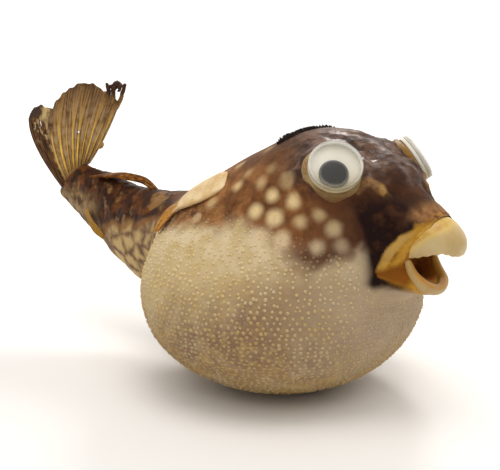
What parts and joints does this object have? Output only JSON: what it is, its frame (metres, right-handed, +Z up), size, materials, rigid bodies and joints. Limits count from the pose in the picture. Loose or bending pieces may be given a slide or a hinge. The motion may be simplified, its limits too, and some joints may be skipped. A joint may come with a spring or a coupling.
{
  "type": "dried pufferfish specimen",
  "caption": "Dried, inflated pufferfish resting on its round belly, beak open, tail bent up, with a domed plastic craft eye on each side of its head.",
  "frame": {"origin": "on the small flat under the belly, on the mid-plane, below the back of the head", "axes": "+Z up, the snout towards -Y and the tail towards +Y, the fish's left side towards +X"},
  "size_m": [0.0738, 0.1582, 0.0787],
  "materials": {
    "head_skin": "dried, shrunken, varnished",
    "back_skin": "dried, brown with round pale spots",
    "belly_skin": "dried, pale and taut, set with short prickles",
    "stem_skin": "dried, wrinkled, glossy varnish",
    "lip_skin": "dried, golden brown",
    "beak": "worn ivory",
    "tail_fin": "stiff dried rays and membrane",
    "folded_fin": "stiff dried rays",
    "pectoral": "stiff dried membrane",
    "eye_rim": "dried skin and glue",
    "eye_white": "white plastic",
    "eye_clear": "clear plastic dome",
    "eye_pupil": "dark disc"
  },
  "bodies": {
    "fish": {"head": "head_skin", "back": "back_skin", "belly": "belly_skin", "tail_stem": "stem_skin", "upper_lip": "lip_skin", "lower_lip": "lip_skin", "beak_upper": "beak", "beak_lower": "beak", "caudal_fin": "tail_fin", "dorsal_fin": "folded_fin", "anal_fin": "folded_fin", "pectoral_fin_right": "pectoral", "pectoral_fin_left": "pectoral", "eye_rim_right": "eye_rim", "eye_backing_right": "eye_white", "eye_dome_right": "eye_clear", "eye_rim_left": "eye_rim", "eye_backing_left": "eye_white", "eye_dome_left": "eye_clear"},
    "pupil_right": {"eye_pupil_right": "eye_pupil"},
    "pupil_left": {"eye_pupil_left": "eye_pupil"}
  },
  "joints": [
    {"name": "pupil_right_slide_round", "type": "hinge", "parent": "fish", "child": "pupil_right", "pos_m": [-0.0157, -0.0254, 0.0592], "axis": [-0.593, -0.593, 0.5446], "continuous": true},
    {"name": "pupil_left_slide_round", "type": "hinge", "parent": "fish", "child": "pupil_left", "pos_m": [0.0157, -0.0254, 0.0592], "axis": [0.593, -0.593, 0.5446], "continuous": true}
  ]
}
